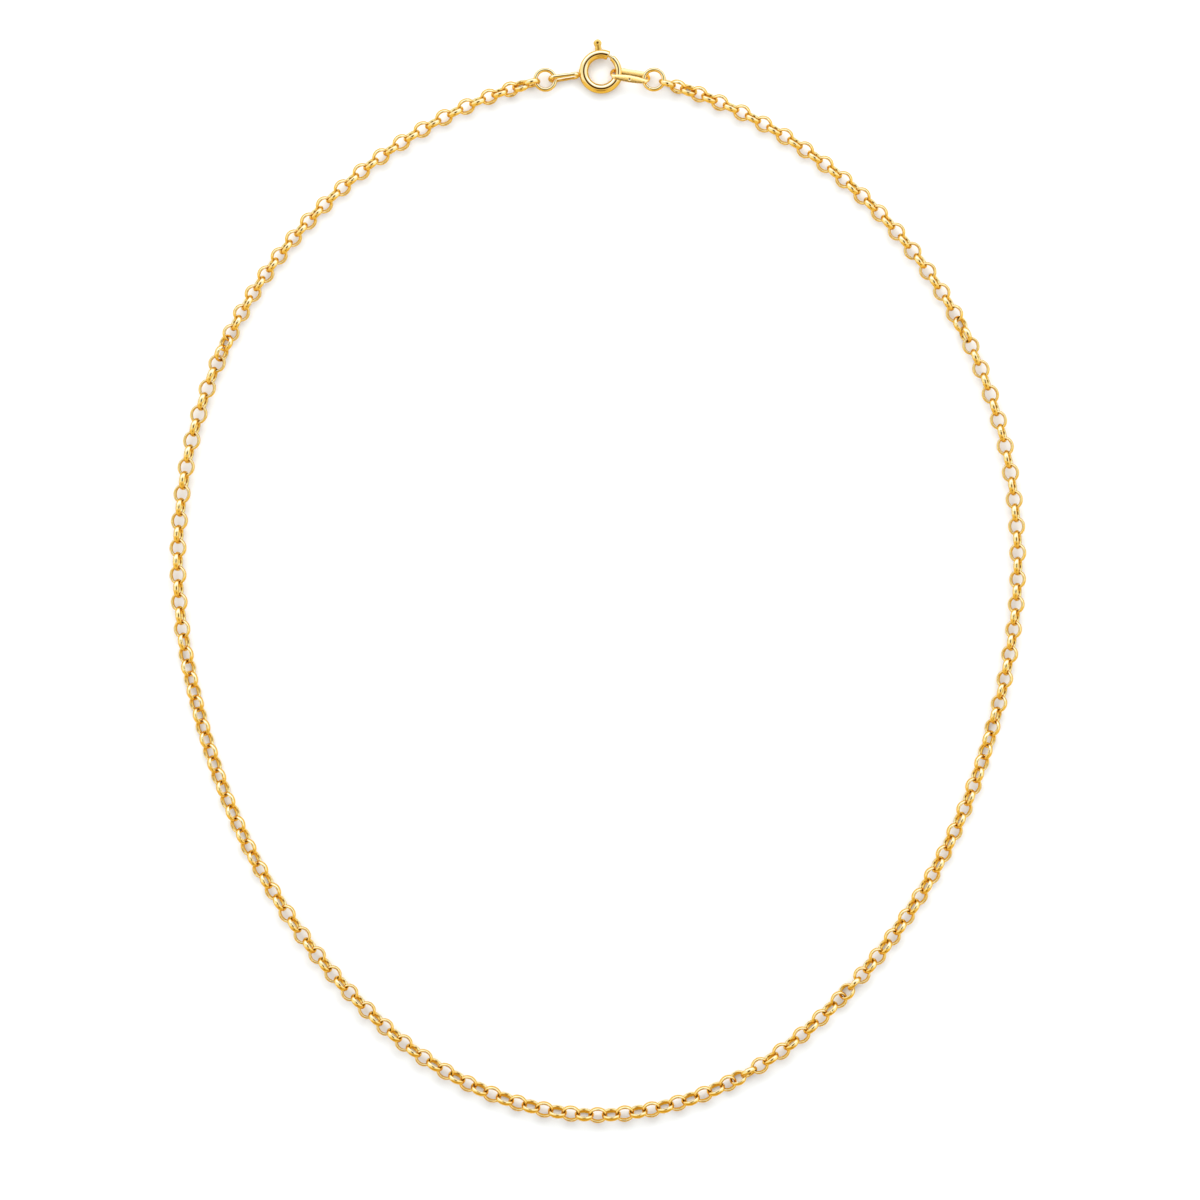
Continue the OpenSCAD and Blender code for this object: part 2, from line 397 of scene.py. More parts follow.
def link_poses(node):
    poses = [link_pose(points) for points in solid_points(node)]
    return sorted(poses, key=loop_angle)


def wobble(rng, count):
    """A closed curve of small smooth changes, from about -1 to 1."""
    a = np.arange(count) * 2 * math.pi / count
    waves = sum(rng.normal() * np.cos(n * a + rng.uniform(0, 6.3)) / n for n in (1, 2, 3))
    return waves / 2.2


def angle_from(a, middle):
    """Angles measured from a middle, between minus and plus half a turn."""
    return (a - middle + math.pi) % (2 * math.pi) - math.pi


def link_angles(seam):
    """Angles round a link, closer together at its solder seam."""
    even = np.arange(LINK_STEPS) * 2 * math.pi / LINK_STEPS
    fine = seam + np.linspace(-1, 1, SEAM_STEPS) * SEAM_REACH * SEAM_HALF / (LINK_W / 2)
    keep = np.abs(angle_from(even, seam)) > SEAM_CLEAR
    angles = np.concatenate([even[keep], fine % (2 * math.pi)])
    spare = LINK_STEPS + SEAM_STEPS - len(angles)
    extra = (seam + math.pi + (np.arange(spare) + 0.5) * SPARE_STEP) % (2 * math.pi)
    return np.sort(np.concatenate([angles, extra]))


def link_grid(length, rng):
    """Points of one link round its own centre: long axis X, ring axis Z."""
    seam = rng.choice([0.5, 1.5]) * math.pi + rng.normal(0, SEAM_SPREAD)
    a = link_angles(seam % (2 * math.pi))
    width = LINK_W * (1 + rng.normal(0, LINK_W_SPREAD))
    half_l = (length - LINK_END) / 2
    half_w = (width - LINK_SIDE) / 2
    end = np.abs(np.cos(a)) ** LINK_END_POWER
    side_half = LINK_SIDE / 2 * (1 - end) + LINK_END / 2 * end
    axial_half = LINK_AXIAL / 2 * (1 - end) + LINK_AXIAL_END / 2 * end
    change = 1 + LINK_WIRE_CHANGE * wobble(rng, len(a))
    groove = 1 - SEAM_DEPTH * hump(angle_from(a, seam) * half_w, 0, SEAM_HALF)
    wire = change * groove
    x, y = np.cos(a) * half_l, np.sin(a) * half_w
    lean = LINK_LEAN * wobble(rng, len(a))
    centres = np.stack([x, y, lean], axis=1)
    outward = np.stack([x / half_l**2, y / half_w**2, 0 * a], axis=1)
    outward /= np.linalg.norm(outward, axis=1)[:, None]
    up = np.broadcast_to([0, 0, 1.0], centres.shape)
    points = swept_points(centres, outward, up, side_half * wire, axial_half * wire, LINK_SECTION)
    return points.reshape(-1, 3)


def crevice_shade(points, others):
    """Strength of the painted shade at each point in the crevice beside the hooked links: 1 at their
    wire.
    """
    wires = np.concatenate([other.reshape(-1, SECTION_STEPS, 3).mean(axis=1) for other in others])
    apart = np.linalg.norm(points[:, None, :] - wires[None, :, :], axis=2).min(axis=1)
    return 1 - smooth_step(apart, LINK_END / 2, LINK_END / 2 + CREVICE_SHADE_REACH)


def link_lengths(centres):
    """Length of each link, so that it reaches the links next to it."""
    pitch = np.linalg.norm(np.diff(centres, axis=0), axis=1)
    before = np.concatenate([pitch[:1], pitch])
    after = np.concatenate([pitch, pitch[-1:]])
    return np.clip((before + after) / 2 + 2 * LINK_END + LINK_PLAY, *LINK_L_RANGE)


def placed_link(length, pose, rng):
    """Points of one link where its CAD solid lies, on or above the surface."""
    centre, long_axis, ring_axis = pose
    ring_axis = ring_axis if ring_axis[2] > 0 else -ring_axis
    across = np.cross(ring_axis, long_axis)
    turn = np.stack([long_axis, across, ring_axis], axis=1)
    points = link_grid(length, rng) @ turn.T + centre
    points[:, 2] += max(0, -points[:, 2].min())
    return points


def chain_shapes():
    """Both strands at once, because the links next to each other set each other's length."""
    poses = {node: link_poses(node) for node in ("chain_left", "chain_right")}
    row = poses["chain_left"] + poses["chain_right"]
    lengths = link_lengths(np.array([pose[0] for pose in row]))
    rng = np.random.default_rng(LINK_SEED)
    grids = [placed_link(length, pose, rng) for length, pose in zip(lengths, row)]
    faces = grid_faces(LINK_STEPS + SEAM_STEPS, SECTION_STEPS)
    # painted shade on the hole side of each link's wire
    inner = INNER_SHADE_DEPTH * smooth_step(-LINK_SECTION[0], *INNER_SHADE_RANGE)
    deep = np.tile(inner, LINK_STEPS + SEAM_STEPS)
    shapes = {}
    for number, points in enumerate(grids):
        node = "chain_left" if number < len(poses["chain_left"]) else "chain_right"
        shape = shapes.setdefault(node, Shape())
        hooked = grids[max(number - 1, 0):number] + grids[number + 1:number + 2]
        # painted shade in the crevices where the neighbouring links hook in
        pit = CREVICE_SHADE_DEPTH * crevice_shade(points, hooked)
        shape.add(points, faces, pit=pit, tone=rng.uniform(), deep=deep)
    return shapes


def chains():
    for node, shape in chain_shapes().items():
        name = node.replace("chain", "links")
        shape.piece(name, node, "chain_gold", [chain_gold])


# Clasp sizes. Angles are in degrees round the clasp's middle, counter-clockwise from +X.

CLASP = np.array(frame["joints"][0]["pos_m"])
CASE_D = 6.9 * MM
TUBE_R = 1.45 / 2 * MM
CASE_R = CASE_D / 2 - TUBE_R
MOUTH_A = 65
MOUTH_SPAN = 86
BORE_R = 1.07 / 2 * MM
# painted shade inside the case's bore
BORE_SHADE = 0.8
LIP = 0.13 * MM
LIP_WALL = 0.05 * MM
LIP_STEPS = 7
CASE_SECTION = 44
CASE_BEVEL = 0.025 * MM

SLOT_FROM_A = 87.7
SLOT_TO_A = 174.3
SLOT_HALF = 0.35 * MM
SAME_A = 1e-6

TAIL_A = 188.5
TAIL_LEAN = 17
TAIL_L = 5.05 * MM
TAIL_W = 2.03 * MM
TAIL_WIRE = 0.5 * MM
TAIL_REACH = 4.9 * MM          # from the case's outside to the loop's far end
TAIL_SOLDER = 0.15 * MM
TAIL_MID = (CASE_D + TAIL_REACH - TAIL_SOLDER) / 2
TAIL_WIDEN = (0.93, 0.09)      # share of the width at the middle, and its growth outwards
TAIL_SAG = (0.07 * MM, 0.45, 0.22)   # bend of the lower wire: depth, place and width
TAIL_DIP = (0.05 * MM, -0.15, 0.25)  # and of the upper wire
TAIL_RIPPLE = (0.05, 9)        # uneven wire: share of its thickness, and how often
TAIL_FLAT = 1.24               # the wire's depth over its width

BOLT_R = 0.97 / 2 * MM
BOLT_TIP_A = -24
BOLT_END_A = 52
BOLT_EASE = 0.12 * MM
NECK_R = 0.25 * MM
NECK_EASE = 0.05 * MM
NECK_SINK_A = 4
BAR_STEPS = 64
BAR_SIDES = 32

TRIGGER_A = 97
TRIGGER_TIP = CASE_D / 2 + 1.62 * MM
TRIGGER_R = 1.24 / 2 * MM
TRIGGER_HEAD = TRIGGER_TIP - TRIGGER_R
TRIGGER_STEM = 0.94 / 2 * MM
TRIGGER_FLARE = 0.1
TRIGGER_T = 0.6 / 2 * MM
TRIGGER_THIN = 0.35            # how much thinner it gets towards its tip
TRIGGER_SIDES = 56
DIMPLE_OFF = 0.05 * MM
DIMPLE_RANGE = (0.08 * MM, 0.22 * MM)
DIMPLE_DEPTH = 0.17 * MM
# painted shade in the trigger's dimple
DIMPLE_SHADE = 0.9
BRIM_R = 0.27 * MM
BRIM_W = 0.05 * MM
BRIM_H = 0.03 * MM

JUMP_WIRE_R = 0.65 / 2 * MM
JUMP_STEPS = 120
JUMP_SIDES = 24
JUMP_SEAM = (0.06, 0.035)      # depth as a share of the wire, and half width as an angle

TAG_L = 6.15 * MM
TAG_A = -9
TAG_SEAT_A = -8
TAG_SPREAD = 1.25 * MM
TAG_PLAY = 0.44 * MM
TAG_FACE_LEAN = 0.19           # the faces tilt towards +Y
TAG_STEPS = 220
TAG_SIDES = 40
# Shares along the tag go from 0 in its middle to 1 at its ends
TAG_END_W = 0.25 * MM
TAG_OVAL_W = 0.235 * MM
TAG_OVAL_L = 0.86
TAG_STRIP_W = 0.21 * MM
TAG_STRIP_L = (0.62, 0.9)
TAG_END_FROM = (0.62, 0.95)
TAG_END_THICK = 0.35
TAG_END_OUT = 0.3
DOT_RANGE = (0.10 * MM, 0.19 * MM)
DOT_DEPTH = 0.1 * MM
STRIP_T = 0.28 * MM
TAG_END_X = BOLT_R + TAG_PLAY + STRIP_T


def ring_frames(angles):
    """Middles and outward directions round the clasp's own circle, its middle at the origin."""
    a = np.radians(angles)
    outward = np.stack([np.cos(a), np.sin(a), 0 * a], axis=1)
    return outward * CASE_R, outward


# Clasp case

def case_angles():
    """Stations along the case, with both ends of the slot among them and close ones at its lips."""
    last = MOUTH_A + 360 - MOUTH_SPAN
    lip_a = math.degrees(LIP / CASE_R)
    lip = lip_a * (1 - np.cos(np.linspace(0, math.pi / 2, LIP_STEPS)))
    runs = [
        MOUTH_A + lip,
        np.linspace(MOUTH_A + lip_a, SLOT_FROM_A, 12)[1:],
        np.linspace(SLOT_FROM_A, SLOT_TO_A, 48)[1:],
        np.linspace(SLOT_TO_A, last - lip_a, 84)[1:],
        (last - lip)[::-1][1:],
    ]
    return np.concatenate(runs)


def lip_radius(angles, full, bare):
    """Tube radius at each station, rounded over at both mouths."""
    from_end = np.minimum(angles - angles[0], angles[-1] - angles)
    s = np.clip(np.radians(from_end) * CASE_R, 0, LIP)
    return bare + (full - bare) * np.sqrt(np.clip(1 - (1 - s / LIP) ** 2, 0, 1))


def slot_section(radius):
    """Section angles with the slot's two edges as the second and the last."""
    edge = math.asin(SLOT_HALF / radius)
    rest = np.linspace(edge, 2 * math.pi - edge, CASE_SECTION - 1)
    return np.concatenate([[0], rest])


def case_shell(angles, radius, section):
    centres, outward = ring_frames(angles)
    up = np.broadcast_to([0, 0, 1.0], centres.shape)
    return swept_points(centres, outward, up, radius, radius, (np.cos(section), np.sin(section)))


def case_points(angles):
    """The outer skin from mouth to mouth, and then the bore on the way back."""
    outer = case_shell(angles, lip_radius(angles, TUBE_R, BORE_R + LIP_WALL), slot_section(TUBE_R))
    inner = case_shell(angles, np.full(len(angles), BORE_R), slot_section(BORE_R))[::-1]
    return np.concatenate([outer, inner]).reshape(-1, 3)


def slot_rows(angles):
    """Rows of faces that lie inside the slot."""
    return [
        j for j in range(len(angles) - 1)
        if angles[j] >= SLOT_FROM_A - SAME_A and angles[j + 1] <= SLOT_TO_A + SAME_A
    ]


def slot_walls(rows, in_slot):
    """Faces between the outer skin and the bore, along the slot's sides and across its ends."""
    def outer_id(j, k):
        return j * CASE_SECTION + k

    def inner_id(j, k):
        return (2 * rows - 1 - j) * CASE_SECTION + k

    last = CASE_SECTION - 1
    faces = []
    for j in in_slot:
        faces.append((outer_id(j, 1), outer_id(j + 1, 1), inner_id(j + 1, 1), inner_id(j, 1)))
        outer_edge = (outer_id(j + 1, last), outer_id(j, last))
        faces.append((*outer_edge, inner_id(j, last), inner_id(j + 1, last)))
    first, end = in_slot[0], in_slot[-1] + 1
    for k, j in ((1, first), (0, first), (1, end), (0, end)):
        a, b = (last, 0) if k == 0 else (0, 1)
        face = (outer_id(j, a), outer_id(j, b), inner_id(j, b), inner_id(j, a))
        faces.append(face if j == first else face[::-1])
    return faces


def add_case_tube(shape):
    """A tube with a bore, two rounded mouths and the slot for the trigger in its outer wall."""
    angles = case_angles()
    rows = len(angles)
    in_slot = slot_rows(angles)
    cut_rows = set(in_slot) | {2 * rows - 2 - j for j in in_slot}
    gone = {j * CASE_SECTION + k for j in cut_rows for k in (0, CASE_SECTION - 1)}
    every = grid_faces(2 * rows, CASE_SECTION)
    faces = [face for number, face in enumerate(every) if number not in gone]
    faces += slot_walls(rows, in_slot)
    # painted shade on the bore, none on the outer skin
    depth = np.concatenate([np.zeros(rows), np.full(rows, BORE_SHADE)])
    shape.add(case_points(angles) + CLASP, faces, pit=np.repeat(depth, CASE_SECTION))


def oblong(half_l, half_w, count):
    """Points and outward directions round an oblong with round ends, evenly spaced."""
    straight = 2 * (half_l - half_w)
    run = 2 * straight + 2 * math.pi * half_w
    points, outward = [], []
    for s in np.arange(count) * run / count:
        if s < straight:
            points.append((s - straight / 2, half_w))
            outward.append((0, 1))
            continue
        s -= straight
        if s < math.pi * half_w:
            a = math.pi / 2 - s / half_w
            points.append((straight / 2 + half_w * math.cos(a), half_w * math.sin(a)))
            outward.append((math.cos(a), math.sin(a)))
            continue
        s -= math.pi * half_w
        if s < straight:
            points.append((straight / 2 - s, -half_w))
            outward.append((0, -1))
            continue
        a = -math.pi / 2 - (s - straight) / half_w
        points.append((-straight / 2 + half_w * math.cos(a), half_w * math.sin(a)))
        outward.append((math.cos(a), math.sin(a)))
    return np.array(points), np.array(outward)


def add_tail_loop(shape):
    """The wire loop soldered to the case, on edge and leaning, wider at its far end."""
    steps, sides = 128, 20
    flat, outward = oblong((TAIL_L - TAIL_WIRE) / 2, (TAIL_W - TAIL_WIRE) / 2, steps)
    share = flat[:, 0] / (TAIL_L / 2)
    lower = flat[:, 1] < 0
    sag, dip = (size * hump(share, *place) for size, *place in (TAIL_SAG, TAIL_DIP))
    flat[:, 1] *= TAIL_WIDEN[0] + TAIL_WIDEN[1] * share
    flat[:, 1] -= np.where(lower, sag, dip)
    points = np.stack([flat[:, 0], flat[:, 1], 0 * share], axis=1)
    across = np.stack([outward[:, 0], outward[:, 1], 0 * share], axis=1)
    up = np.broadcast_to([0, 0, 1.0], points.shape)
    half = TAIL_WIRE / 2 * (1 + TAIL_RIPPLE[0] * np.cos(TAIL_RIPPLE[1] * share))
    grid = swept_points(points, across, up, half, half * TAIL_FLAT, section_points(sides, 2.2))
    grid = grid.reshape(-1, 3) @ tilt_x(90 + TAIL_LEAN).T + [TAIL_MID, 0, 0]
    points = grid @ turn_z(TAIL_A).T + CLASP
    points[:, 2] = np.maximum(points[:, 2], 0)
    shape.add(points, grid_faces(steps, sides), tone=0.7)


def clasp_case():
    shape = Shape()
    add_case_tube(shape)
    add_tail_loop(shape)
    obj = shape.piece("spring_ring_case", "clasp_case", "clasp_gold", [clasp_gold])
    bevel = obj.modifiers.new("soft_edges", "BEVEL")
    bevel.width = CASE_BEVEL
    bevel.segments = 2
    bevel.limit_method = "ANGLE"
    bevel.angle_limit = math.radians(50)


# Clasp bolt and trigger

def rounded_bar(from_a, to_a, radius, ease):
    """Stations and radii of a bar bent round the clasp's circle, with eased ends."""
    a = np.linspace(from_a, to_a, BAR_STEPS)
    lip = math.degrees(ease / CASE_R)
    extra = lip * (1 - np.cos(np.linspace(0, math.pi / 2, LIP_STEPS)))
    inside = a[(a > from_a + lip) & (a < to_a - lip)]
    a = np.unique(np.concatenate([inside, from_a + extra, to_a - extra]))
    s = np.clip(np.radians(np.minimum(a - a[0], a[-1] - a)) * CASE_R, 0, ease)
    return a, radius - ease + np.sqrt(np.clip(ease**2 - (ease - s) ** 2, 0, None))


def add_bar(shape, from_a, to_a, radius, ease):
    a, radii = rounded_bar(from_a, to_a, radius, ease)
    centres, outward = ring_frames(a)
    up = np.broadcast_to([0, 0, 1.0], centres.shape)
    grid = swept_points(centres, outward, up, radii, radii, section_points(BAR_SIDES, 2))
    faces = grid_faces(len(a), BAR_SIDES, closed=False) + end_caps(len(a), BAR_SIDES)
    shape.add(grid + CLASP, faces)


def trigger_widths(s):
    """Half width of the trigger at each distance from the clasp's middle."""
    ball = np.sqrt(np.clip(TRIGGER_R**2 - (s - TRIGGER_HEAD) ** 2, 0, None))
    flare = smooth_step(s, CASE_D / 2 - 0.05 * MM, CASE_D / 2 + 0.1 * MM)
    waist = TRIGGER_STEM * (1 + TRIGGER_FLARE * flare)
    blend = smooth_step(s, TRIGGER_HEAD - 1.25 * TRIGGER_R, TRIGGER_HEAD - 0.25 * TRIGGER_R)
    return waist * (1 - blend) + ball * blend


def trigger_stations():
    """Distances from the clasp's middle, close together at the round head."""
    top = np.sin(np.linspace(math.asin(0.8), math.pi / 2 - 0.05, 8))
    return np.concatenate([
        np.linspace(CASE_R, TRIGGER_HEAD - TRIGGER_R, 16),
        np.linspace(TRIGGER_HEAD - TRIGGER_R, TRIGGER_HEAD + 0.8 * TRIGGER_R, 44)[1:],
        TRIGGER_HEAD + TRIGGER_R * top[1:],
    ])


def add_trigger(shape):
    """A club-shaped thumb piece with a dimple in its head and hammered faces."""
    s = trigger_stations()
    centres = np.stack([s, 0 * s, 0 * s], axis=1)
    across = np.broadcast_to([0, 1.0, 0], centres.shape)
    up = np.broadcast_to([0, 0, 1.0], centres.shape)
    thin = smooth_step(s, TRIGGER_HEAD + 0.3 * TRIGGER_R, TRIGGER_TIP)
    thick = TRIGGER_T * (1 - TRIGGER_THIN * thin)
    section = section_points(TRIGGER_SIDES, 2.3)
    points = swept_points(centres, across, up, trigger_widths(s), thick, section).reshape(-1, 3)
    off = np.hypot(points[:, 0] - TRIGGER_HEAD - DIMPLE_OFF, points[:, 1])
    top = points[:, 2] > 0
    dent = np.where(top, 1 - smooth_step(off, *DIMPLE_RANGE), 0)
    brim = np.where(top, hump(off, BRIM_R, BRIM_W), 0)
    points[:, 2] += BRIM_H * brim - DIMPLE_DEPTH * dent
    faces = grid_faces(len(s), TRIGGER_SIDES, closed=False) + end_caps(len(s), TRIGGER_SIDES)
    # painted shade in the dimple
    shape.add(points @ turn_z(TRIGGER_A).T + CLASP, faces, pit=DIMPLE_SHADE * dent, slot=1)


def clasp_bolt():
    shape = Shape()
    add_bar(shape, BOLT_TIP_A, BOLT_END_A, BOLT_R, BOLT_EASE)
    add_bar(shape, BOLT_END_A - NECK_SINK_A, TRIGGER_A + NECK_SINK_A, NECK_R, NECK_EASE)
    add_trigger(shape)
    shape.piece("spring_ring_bolt", "clasp_bolt", "clasp_gold", [clasp_gold, grained_gold])


# Jump rings and tag

def jump_ring(node, seam_a):
    """A round wire ring with a soldered joint, tilted as its CAD solid is."""
    low, high = (np.array(corner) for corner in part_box(node))
    centre = (low + high) / 2
    out_a = TAIL_A if node.endswith("left") else TAG_A
    radius = (high[0] - low[0]) / 2 - JUMP_WIRE_R
    rise = (high[2] - low[2]) / 2 - JUMP_WIRE_R
    a = np.arange(JUMP_STEPS) * 2 * math.pi / JUMP_STEPS
    outward = np.stack([np.cos(a), np.sin(a), 0 * a], axis=1)
    up = np.broadcast_to([0, 0, 1.0], outward.shape)
    depth, half_a = JUMP_SEAM
    radii = JUMP_WIRE_R * (1 - depth * hump(angle_from(a, math.radians(seam_a)), 0, half_a))
    grid = swept_points(outward * radius, outward, up, radii, radii, section_points(JUMP_SIDES, 2))
    tilt = math.asin(rise / radius)
    lift = np.array([
        [math.cos(tilt), 0, -math.sin(tilt)],
        [0, 1, 0],
        [math.sin(tilt), 0, math.cos(tilt)],
    ])
    points = grid.reshape(-1, 3) @ lift.T @ turn_z(out_a).T + centre
    shape = Shape()
    shape.add(points, grid_faces(JUMP_STEPS, JUMP_SIDES))
    shape.piece(node + "_wire", node, "clasp_gold", [clasp_gold])


def tag_widths(share, upper):
    """Half width of the tag's band: a pointed oval above, a broad strip below, thick at its ends."""
    oval = TAG_END_W + TAG_OVAL_W * np.clip(1 - (share / TAG_OVAL_L) ** 2, 0, 1)
    strip = TAG_END_W + TAG_STRIP_W * (1 - smooth_step(np.abs(share), *TAG_STRIP_L))
    return np.where(upper, oval, strip)


def tag_band(height):
    """Points of the band standing on edge along X, with the depth of its dot at each point."""
    flat, outward = oblong((TAG_L - STRIP_T) / 2, (height - STRIP_T) / 2, TAG_STEPS)
    share = flat[:, 0] / (TAG_L / 2)
    half_w = tag_widths(share, flat[:, 1] > 0)
    ends = smooth_step(np.abs(share), *TAG_END_FROM)
    half_t = STRIP_T / 2 * (1 + TAG_END_THICK * ends)
    flat += outward * (STRIP_T / 2 * TAG_END_OUT * ends)[:, None]
    points = np.stack([flat[:, 0], 0 * share, flat[:, 1]], axis=1)
    across = np.stack([outward[:, 0], 0 * share, outward[:, 1]], axis=1)
    side = np.broadcast_to([0, 1.0, 0], points.shape)
    grid = swept_points(points, across, side, half_t, half_w, section_points(TAG_SIDES, 2.2))
    grid = grid.reshape(-1, 3)
    off = np.hypot(grid[:, 0], grid[:, 1])
    top = grid[:, 2] > height / 2 - STRIP_T / 2
    dent = np.where(top, 1 - smooth_step(off, *DOT_RANGE), 0)
    grid[:, 2] -= DOT_DEPTH * dent
    half = np.repeat(half_w, TAG_SIDES)
    room = np.repeat(1 - ends, TAG_SIDES)
    drop = np.where(grid[:, 2] > 0, -(half + grid[:, 1]), half - grid[:, 1])
    grid[:, 2] += TAG_FACE_LEAN * room * drop
    return grid, dent


def catch_tag():
    """A band bent into an oblong on edge, hooked round the bolt and holding the jump ring."""
    low, high = (np.array(corner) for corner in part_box("catch_tag"))
    height = high[2] - low[2]
    grid, dent = tag_band(height)
    grid[:, 1] -= grid[:, 2] * TAG_SPREAD / (height - STRIP_T)
    grid += [TAG_L / 2 - TAG_END_X, 0, 0]
    a = math.radians(TAG_SEAT_A)
    place = CLASP + CASE_R * np.array([math.cos(a), math.sin(a), 0])
    place[2] = (low[2] + high[2]) / 2
    points = grid @ turn_z(TAG_A).T + place
    points[:, 2] = np.clip(points[:, 2], low[2], high[2])
    shape = Shape()
    # painted shade in the tag's dot
    shape.add(points, grid_faces(TAG_STEPS, TAG_SIDES), pit=dent, tone=0.2)
    shape.piece("catch_tag_band", "catch_tag", "clasp_gold", [satin_gold])


# Floor and flag

FLOOR_R = 1.5
FLOOR_STEPS = 96
FLOOR_DROP = 0.01 * MM
FLOOR_WHITE = 0.768
FLOOR_LIGHT_SLOPE = 0.045            # painted light: the floor's colour brighter towards the clasp, nearer the light
FLOOR_RUN = 80 * MM            # from the middle to where the slope is full
FLOOR_TINT = (0.98, 1.0, 1.0)
FLOOR_PAINTED_REFLECTION = (0.62, 0.53, 0.22)  # painted reflection: what polished metal shows of the floor close under it, a darker warm tone standing in for the floor's shade there
PAPER_SCALE = 60
PAPER_SHARE = 0.04

# painted reflection: a glowing tan card seen only in the gold
FLAG_X = 90 * MM
FLAG_Y = -112 * MM
FLAG_H = 34 * MM
FLAG_REFLECTION_GLOW = (0.66, 0.48, 0.10)


def one_face(name, corners, paint):
    """An object of one flat face, with the node tree of its new material."""
    mesh = bpy.data.meshes.new(name)
    mesh.from_pydata(corners, [], [tuple(range(len(corners)))])
    obj = bpy.data.objects.new(name, mesh)
    bpy.context.scene.collection.objects.link(obj)
    material = bpy.data.materials.new(paint)
    material.use_nodes = True
    mesh.materials.append(material)
    return obj, material.node_tree


def floor():
    turns = [2 * math.pi * k / FLOOR_STEPS for k in range(FLOOR_STEPS)]
    rim = [(FLOOR_R * math.cos(a), FLOOR_R * math.sin(a), 0) for a in turns]
    obj, tree = one_face("floor", rim, "floor_white")
    obj.location.z = -FLOOR_DROP
    shader = tree.nodes["Principled BSDF"]
    shader.inputs["Roughness"].default_value = 0.9
    shader.inputs["Specular IOR Level"].default_value = 0.0
    coords = tree.nodes.new("ShaderNodeTexCoord").outputs["Object"]
    y = split_node(tree, coords)[1]
    # painted light: the floor's colour grows brighter towards +Y, nearer the light, which weakens
    # the shadows there
    toward = map_node(tree, y, -FLOOR_RUN, FLOOR_RUN, 0.0, 0.5)
    paper = math_node(tree, "MULTIPLY", noise_node(tree, coords, PAPER_SCALE, 3), PAPER_SHARE)
    share = math_node(tree, "ADD", toward, paper)
    dimmest = tuple((FLOOR_WHITE - FLOOR_LIGHT_SLOPE) * c for c in FLOOR_TINT)
    brightest = tuple((FLOOR_WHITE + 3 * FLOOR_LIGHT_SLOPE) * c for c in FLOOR_TINT)
    white = mix_node(tree, share, dimmest, brightest)
    # painted reflection: glossy rays see the floor in a darker warm tone, as if shaded under the
    # chain
    path = tree.nodes.new("ShaderNodeLightPath")
    shown = mix_node(tree, path.outputs["Is Glossy Ray"], white, FLOOR_PAINTED_REFLECTION)
    tree.links.new(shown, shader.inputs["Base Color"])


def flag():
    """A glowing card on the -Y side, seen only in the gold: a painted reflection that darkens the
    near side of the chain.
    """
    corners = [
        (-FLAG_X, FLAG_Y, 0),
        (FLAG_X, FLAG_Y, 0),
        (FLAG_X, FLAG_Y, FLAG_H),
        (-FLAG_X, FLAG_Y, FLAG_H),
    ]
    obj, tree = one_face("flag", corners, "flag_painted_reflection")
    tree.nodes.clear()
    glow = tree.nodes.new("ShaderNodeEmission")
    glow.inputs["Color"].default_value = (*FLAG_REFLECTION_GLOW, 1)
    out = tree.nodes.new("ShaderNodeOutputMaterial")
    tree.links.new(glow.outputs[0], out.inputs["Surface"])
    obj.visible_camera = False
    obj.visible_diffuse = False
    obj.visible_shadow = False


# The room by slopes off the zenith, p towards +X and q towards +Y, and by tilt and side.
# Each LEVEL is the light that the floor gets from a part of the room, and each GLINT is what
# polished metal shows of it.

ROOM_LEVEL = 1.30
HORIZON_LEVEL = 0.2
ROOM_FROM = 0.75               # height of a direction above which the room has its full level
ROOM_GLINT = (1.14, 1.48, 2.65)
NEAR_SIDE = -0.35              # the room on the -Y side
NEAR_Q = (-0.55, -0.15)
NEAR_GLINT = (0.96, 0.85, 0.46)
SIDE_SOFT = 0.15

GAP_MIDDLE = (0.06, 0.08)      # dark gap overhead
GAP_HALF = (0.34, 0.26)
GAP_TURN = 67
GAP_EDGE = (0.75, 1.25)
GAP_LEVEL = 1.3
GAP_GLINT = (0.06, 0.03, 0.002)
RIM_REACH = (1.0, 3.0)         # warm edge round the gap
RIM_GLINT = (0.52, 0.34, 0.05)

DARK_P = (-0.40, 0.40, 0.15)   # dark doorway on the -Y side: limits and softness
DARK_Q = (-1.9, -0.8, 0.25)
DARK_GLINT = (0.34, 0.20, 0.03)

BOX_TILT = (41, 78)            # bright soft box on the +Y side
BOX_SOFT = 0.03
BOX_SIDE = 0.50
BOX_LEVEL = 4.6
BOX_GLINT = (1.08, 1.84, 6.2)

RIGHT_P = (0.09, 1.15, 0.06)   # panel overhead towards +X
RIGHT_Q = (-0.20, 0.27, 0.15)
RIGHT_LEVEL = 1.1
RIGHT_GLINT = (1.06, 1.5, 3.8)

LEFT_P = (-8.0, -0.27, 0.1)    # panel towards -X
LEFT_Q = (-0.1, 2.0, 0.2)
LEFT_LEVEL = 1.3
LEFT_GLINT = (1.02, 1.3, 2.3)

BACKDROP = (0.97, 0.97, 0.97)


def band(tree, value, low, high, soft):
    """1 where a value lies between two limits, with soft edges."""
    rise = map_node(tree, value, low - soft, low + soft, 0, 1, smooth=True)
    fall = map_node(tree, value, high - soft, high + soft, 1, 0, smooth=True)
    return math_node(tree, "MULTIPLY", rise, fall)


def window(tree, p, q, p_band, q_band):
    """1 where both slopes lie in their bands."""
    return math_node(tree, "MULTIPLY", band(tree, p, *p_band), band(tree, q, *q_band))


def side_of(tree, x, y, least):
    """1 on the +Y side, by the share of the direction's run that goes that way."""
    squares = [math_node(tree, "MULTIPLY", part, part) for part in (x, y)]
    run = math_node(tree, "POWER", math_node(tree, "ADD", *squares), 0.5)
    share = math_node(tree, "DIVIDE", y, math_node(tree, "MAXIMUM", run, 0.001))
    return map_node(tree, share, least - SIDE_SOFT, least + SIDE_SOFT, 0, 1, smooth=True)


